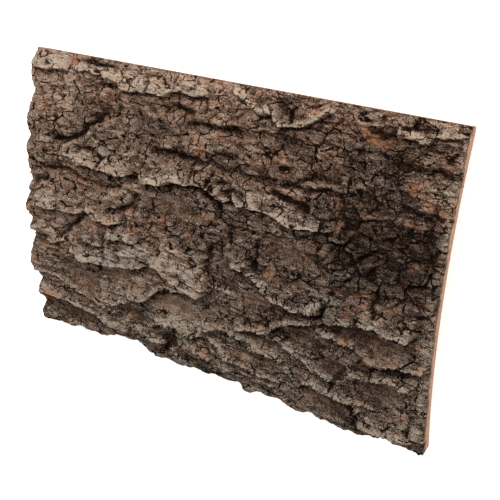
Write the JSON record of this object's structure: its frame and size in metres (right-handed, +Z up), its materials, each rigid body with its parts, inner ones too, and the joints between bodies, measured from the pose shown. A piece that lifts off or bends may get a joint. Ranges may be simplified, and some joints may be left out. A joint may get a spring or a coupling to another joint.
{
  "type": "cork bark slab",
  "caption": "Bowed rectangular slab of rough cork oak bark with furrowed plates on its outer face and a smooth hollow back, used as a terrarium wall or decor panel.",
  "frame": {"origin": "on the resting surface, under the middle of the slab's bounding box", "axes": "+X along the grain, +Y across the grain towards the straight sawn long edge, +Z up out of the bark face; the slab lies on its hollow back"},
  "size_m": [0.455, 0.308, 0.0437],
  "materials": {
    "cork_bark": "weathered grey-brown cork bark, rough and matt, with salmon-tan sawn edges"
  },
  "bodies": {
    "root": {"cork_slab": "cork_bark"}
  },
  "joints": []
}
